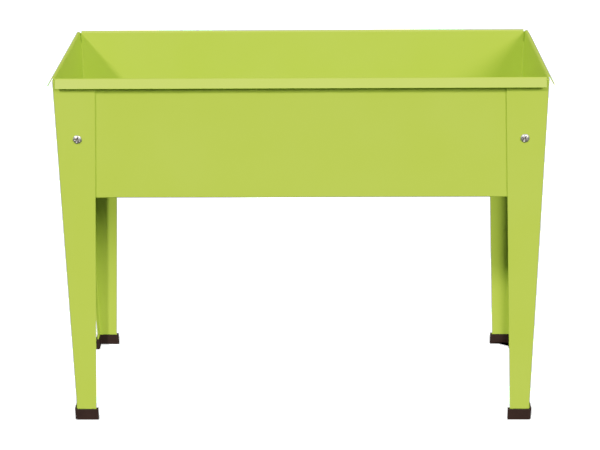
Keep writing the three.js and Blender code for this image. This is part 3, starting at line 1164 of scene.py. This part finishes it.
@dataclass
class Fasteners:
    """The bolts, washers and nuts. Each set's Z runs inwards from the leg's outer face."""

    layout: Layout
    shank_diameter: float = 6 * MM
    bolt_length: float = 12 * MM
    bolt_sides: int = 32
    thread_start: float = LEG_SHEET + TROUGH_SHEET
    thread_pitch: float = 1 * MM
    thread_depth: float = 0.32 * MM
    thread_steps: int = 50
    end_chamfer: float = 0.7 * MM
    neck_fillet: float = 0.3 * MM
    head_diameter: float = 13.8 * MM
    head_height: float = 3.2 * MM
    head_rim: float = 0.7 * MM
    head_softness: float = 0.25 * MM
    dome_steps: int = 10
    recess_span: float = 10.4 * MM
    recess_wing: float = 2.3 * MM
    recess_depth: float = 2.6 * MM
    recess_lead: float = 1 * MM
    recess_flare: float = 0.55 * MM
    recess_taper: float = 1.7 * MM
    recess_point: float = 0.62
    washer_diameter: float = 12 * MM
    washer_thickness: float = 1.2 * MM
    washer_softness: Flat = (0.2 * MM, 0.15 * MM)
    nut_across_flats: float = 10 * MM
    nut_height: float = 5 * MM
    nut_face: float = 9.4 * MM
    nut_chamfer: float = math.radians(30)
    ring_sides: int = 48
    bore_lead: float = 0.35 * MM
    smooth_angle: float = 30
    ring_smooth_angle: float = 25
    seed: int = 4
    most_turn: float = math.radians(20)

    def stations(self) -> Object:
        """The stations of all the bolts, on the legs' outer faces."""
        spots = [self.layout.bolt_station(corner, flange) for corner in Corner for flange in Flange]
        return stations_object("bolt stations", spots)

    def thread_radius(self, radius: float, height: float, angle: float) -> float:
        """The shank's true radius, with the thread's groove winding round it.

        Args:
            radius: The radius at the thread's crest.
            height: The height along the shank.
            angle: The angle round it.

        Returns:
            The true radius.
        """
        on_shank = abs(radius - self.shank_diameter / 2) < WELD_DISTANCE
        if height < self.thread_start or not on_shank:
            return radius
        phase = (height / self.thread_pitch - angle / FULL_TURN) % 1
        return radius - self.thread_depth * (1 - abs(2 * phase - 1))

    def recess_cutter(self) -> Object:
        """A cross that narrows towards its point, for the driver's recess.

        Returns:
            The cutter.
        """
        top = -CLEARANCE - self.head_height
        mouth = (top - self.recess_lead, self.recess_flare, 1.0)
        foot = (top + self.recess_depth, -self.recess_taper, self.recess_point)
        points, faces = [], []
        for quarter in range(2):
            turn = Matrix.Rotation(quarter * QUARTER_TURN, 3, "Z")
            first = len(points)
            for height, grow, narrow in (mouth, foot):
                half = self.recess_span / 2 + grow
                wing = self.recess_wing / 2 * narrow
                for x, y in ((-half, -wing), (half, -wing), (half, wing), (-half, wing)):
                    points.append(tuple(turn @ Vector((x, y, height))))
            loops = [(3, 2, 1, 0), (4, 5, 6, 7), *lattice(2, 4, closed=True)]
            faces += [tuple(first + k for k in loop) for loop in loops]
        return mesh_object("recess cutter", points, faces)

    def bolt_profile(self) -> list[Flat]:
        """Half of the bolt's section, from the top of its head to the end of its shank.

        Returns:
            (radius, height) points.
        """
        head, shank, soft = self.head_diameter / 2, self.shank_diameter / 2, self.head_softness
        under = -CLEARANCE
        rim = under - self.head_rim
        crown = self.head_height - self.head_rim
        dome = (head * head + crown * crown) / (2 * crown)
        step = math.asin(head / dome) / self.dome_steps
        profile = [(0.0, rim - crown)]
        for angle in (step * number for number in range(1, self.dome_steps)):
            profile.append((dome * math.sin(angle), rim - crown + dome * (1 - math.cos(angle))))
        profile += [(head - 0.4 * soft, rim - 0.2 * soft), (head, rim + soft)]
        profile += [(head, under - soft), (head - soft, under)]
        profile += [(shank + self.neck_fillet, under), (shank, under + self.neck_fillet)]
        end = under + self.bolt_length
        step = (end - self.end_chamfer - self.thread_start) / self.thread_steps
        profile += [(shank, self.thread_start + step * n) for n in range(self.thread_steps + 1)]
        return [*profile, (shank - self.end_chamfer, end), (0.0, end)]

    def model_bolt(self) -> Object:
        """A pan-head bolt with a cross recess and a threaded shank.

        Returns:
            The bolt at the origin.
        """
        made = turned_piece("bolt model", self.bolt_profile(), self.bolt_sides, self.thread_radius)
        cutter = self.recess_cutter()
        recess = made.modifiers.new("recess", "BOOLEAN")
        recess.operation = "DIFFERENCE"
        recess.solver = "EXACT"
        recess.use_self = True
        recess.object = cutter
        piece = settle(made, "bolt pattern", self.smooth_angle)
        bpy.data.objects.remove(cutter)
        return piece

    def ring(
        self, name: str, start: float, height: float, edge: Callable[[float], Point]
    ) -> Object:
        """A washer or a nut: a bore with a soft mouth, and an outside that edge describes.

        Args:
            name: The object's name.
            start: The height of its first face.
            height: Its thickness.
            edge: Gives the outside's radius, its flat face's radius and its chamfer's drop.

        Returns:
            The object.
        """
        bore, lead, end = BOLT_HOLE / 2, self.bore_lead, start + height
        points = []
        for side in range(self.ring_sides):
            angle = FULL_TURN * side / self.ring_sides
            outside, flat, drop = edge(angle)
            section = [(bore, start + lead), (bore + lead, start)]
            section += [(flat, start), (outside, start + drop)]
            section += [(r, start + end - z) for r, z in reversed(section)]
            points += [(r * math.cos(angle), r * math.sin(angle), z) for r, z in section]
        count = len(section)
        faces = []
        for here in range(0, len(points), count):
            there = (here + count) % len(points)
            for k in range(count):
                ahead = (k + 1) % count
                faces.append((here + k, there + k, there + ahead, here + ahead))
        made = mesh_object(name, points, faces)
        merge_close(made, outwards=True)
        return settle(made, f"{name} pattern", self.ring_smooth_angle)

    def washer_edge(self, angle: float) -> Point:
        """A washer's outside: the same all round, with a hint of a chamfer."""
        outside = self.washer_diameter / 2
        return outside, outside - self.washer_softness[0], self.washer_softness[1]

    def nut_edge(self, angle: float) -> Point:
        """A nut's outside: six flats, and a chamfer that cuts the corners down.

        Args:
            angle: The angle round the nut.

        Returns:
            The radius, the flat face's radius, and how far the chamfer has dropped.
        """
        sixth = FULL_TURN / 6
        off = (angle + sixth / 2) % sixth - sixth / 2
        outside = self.nut_across_flats / 2 / math.cos(off)
        flat = self.nut_face / 2
        return outside, flat, (outside - flat) * math.tan(self.nut_chamfer)

    def build(self, repeat: PieceRepeater, stations: Object, zinc: Material) -> None:
        """Builds all the fasteners, one piece for each kind.

        Args:
            repeat: The tool that puts a model at each station.
            stations: The stations of the bolts.
            zinc: The fasteners' finish.
        """
        washer_start = LEG_SHEET + TROUGH_SHEET + 2 * CLEARANCE
        nut_start = washer_start + self.washer_thickness + CLEARANCE
        models = {
            "bolt": self.model_bolt(),
            "washer": self.ring("washer", washer_start, self.washer_thickness, self.washer_edge),
            "nut": self.ring("nut", nut_start, self.nut_height, self.nut_edge),
        }
        for kind, model in models.items():
            carrier = add_object(f"{kind} carrier", stations.data.copy())
            repeat.attach(carrier, Piece=model, Seed=self.seed, Most_Turn=self.most_turn, Finish=zinc)
            model.data.attributes.remove(model.data.attributes[EDGE_ATTRIBUTE])
            piece = settle(carrier, f"{kind}s_zinc", self.smooth_angle)
            bpy.data.objects.remove(model)
            nodes = [f"{kind}_{corner.label}_{flange.value}" for corner in Corner for flange in Flange]
            dress(piece, zinc, nodes)


# --- the studio


@dataclass(frozen=True)
class SoftSun:
    """A distant lamp: the way its light travels, its strength and its width in degrees."""

    name: str
    travels: Point
    strength: float
    width: float

    def build(self) -> None:
        """Hangs the lamp."""
        lamp = bpy.data.lights.new(self.name, "SUN")
        lamp.energy = self.strength
        lamp.angle = math.radians(self.width)
        made = add_object(self.name, lamp)
        made.rotation_euler = Vector(self.travels).to_track_quat("-Z", "Y").to_euler()


@dataclass
class Studio:
    """The pale floor, the lamps, the white surround and the camera."""

    floor_half: float = 30.0
    floor_tone: float = 0.6
    floor_roughness: float = 0.9
    floor_glow: float = 0.9
    sky_strength: float = 0.215
    ground_strength: float = 0.072
    horizon: Flat = (-0.15, 0.25)
    camera_place: Point = (28.5 * MM, -2248.4 * MM, 1247.7 * MM)
    camera_yaw: float = math.radians(-0.829)
    camera_pitch: float = math.radians(23.015)
    camera_roll: float = math.radians(-0.449)
    lens_mm: float = 87.87
    sensor_mm: float = 36.0
    clip: Flat = (0.05, 200.0)
    shoulder: float = 0.85
    shoulder_end: float = 0.88
    tone_gain: float = 1.8
    tone_steps: int = 14
    suns: tuple[SoftSun, ...] = (
        SoftSun("key", (0.8, 1.0, -1.0), 2.06, 6),
        SoftSun("fill", (-0.75, 1.0, -0.8), 2.26, 24),
    )

    def build_floor(self) -> None:
        """Lays the floor, which lights nothing itself and shows almost white."""
        half = self.floor_half
        corners = [(-half, -half, 0), (half, -half, 0), (half, half, 0), (-half, half, 0)]
        made = mesh_object("floor", corners, [(0, 1, 2, 3)])
        finish = bpy.data.materials.new("pale floor")
        finish.use_nodes = True
        shader = finish.node_tree.nodes["Principled BSDF"]
        looks = {
            "Base Color": (self.floor_tone, self.floor_tone, self.floor_tone, 1),
            "Roughness": self.floor_roughness,
            "Specular IOR Level": 0.0,
            "Emission Color": WHITE,
            "Emission Strength": self.floor_glow,
        }
        for label, value in looks.items():
            shader.inputs[label].default_value = value
        made.data.materials.append(finish)
        made.visible_diffuse = False
        made.visible_glossy = False

    def build_surround(self) -> None:
        """Lights the scene from all round: bright above, dimmer below."""
        world = bpy.data.worlds.new("studio surround")
        world.use_nodes = True
        bpy.context.scene.world = world
        sketch = Sketch(world.node_tree)
        place = sketch.add("ShaderNodeTexCoord").outputs["Generated"]
        split = sketch.add("ShaderNodeSeparateXYZ")
        sketch.join(place, split.inputs[0])
        strength = sketch.remap(
            split.outputs["Z"], self.horizon, (self.ground_strength, self.sky_strength)
        )
        light = sketch.add("ShaderNodeBackground")
        sketch.set(light, Color=WHITE, Strength=strength)
        output = sketch.add("ShaderNodeOutputWorld")
        sketch.set(output, Surface=light.outputs[0])

    def build_camera(self) -> None:
        """Places the camera and makes it the scene's own."""
        yaw, pitch, roll = self.camera_yaw, self.camera_pitch, self.camera_roll
        flat = math.cos(pitch)
        ahead = Vector((math.sin(yaw) * flat, math.cos(yaw) * flat, -math.sin(pitch)))
        level = Vector((math.cos(yaw), -math.sin(yaw), 0))
        above = level.cross(ahead)
        right = math.cos(roll) * level + math.sin(roll) * above
        up = -math.sin(roll) * level + math.cos(roll) * above
        lens = bpy.data.cameras.new("camera")
        lens.lens = self.lens_mm
        lens.sensor_width = self.sensor_mm
        lens.clip_start, lens.clip_end = self.clip
        made = add_object("camera", lens)
        turn = Matrix((right, up, -ahead)).transposed().to_4x4()
        made.matrix_world = Matrix.Translation(self.camera_place) @ turn
        bpy.context.scene.camera = made

    def shape_tones(self) -> None:
        """Bends the picture's tones: shade opens up, lit paint flattens off, the floor stays white."""
        view = bpy.context.scene.view_settings
        view.view_transform = "Standard"
        view.use_curve_mapping = True
        curve = view.curve_mapping.curves[COMBINED_CURVE]
        for step in range(1, self.tone_steps + 1):
            light = self.shoulder_end * step / self.tone_steps
            shown = self.shoulder * (1 - math.exp(-self.tone_gain * light / self.shoulder))
            curve.points.new(light, shown)
        view.curve_mapping.update()

    def build(self) -> None:
        """Sets up everything round the planter."""
        self.build_floor()
        self.build_surround()
        self.build_camera()
        for sun in self.suns:
            sun.build()
        self.shape_tones()
        log.info("studio: floor, surround, camera and %d lamps", len(self.suns))


# --- the whole


def main() -> None:
    """Builds the planter and the studio in order."""
    logging.basicConfig(level=logging.INFO, format="%(name)s: %(message)s")
    layout = Layout.from_part()
    effects = Effects.build()
    paint = POWDER_COAT.material(effects)
    plastic = MOULDED_PLASTIC.material(effects)
    zinc = ZINC_PLATE.material(effects)
    drill = HoleDrill()
    repeat = PieceRepeater()

    fasteners = Fasteners(layout)
    stations = fasteners.stations()
    Trough(layout).build(drill, stations, paint)
    for corner in Corner:
        leg = CornerLeg(layout, corner)
        leg.build_leg(drill, stations, paint)
        leg.build_cap(plastic)
    fasteners.build(repeat, stations, zinc)
    bpy.data.objects.remove(stations)
    Studio().build()


if __name__ == "__main__":
    main()
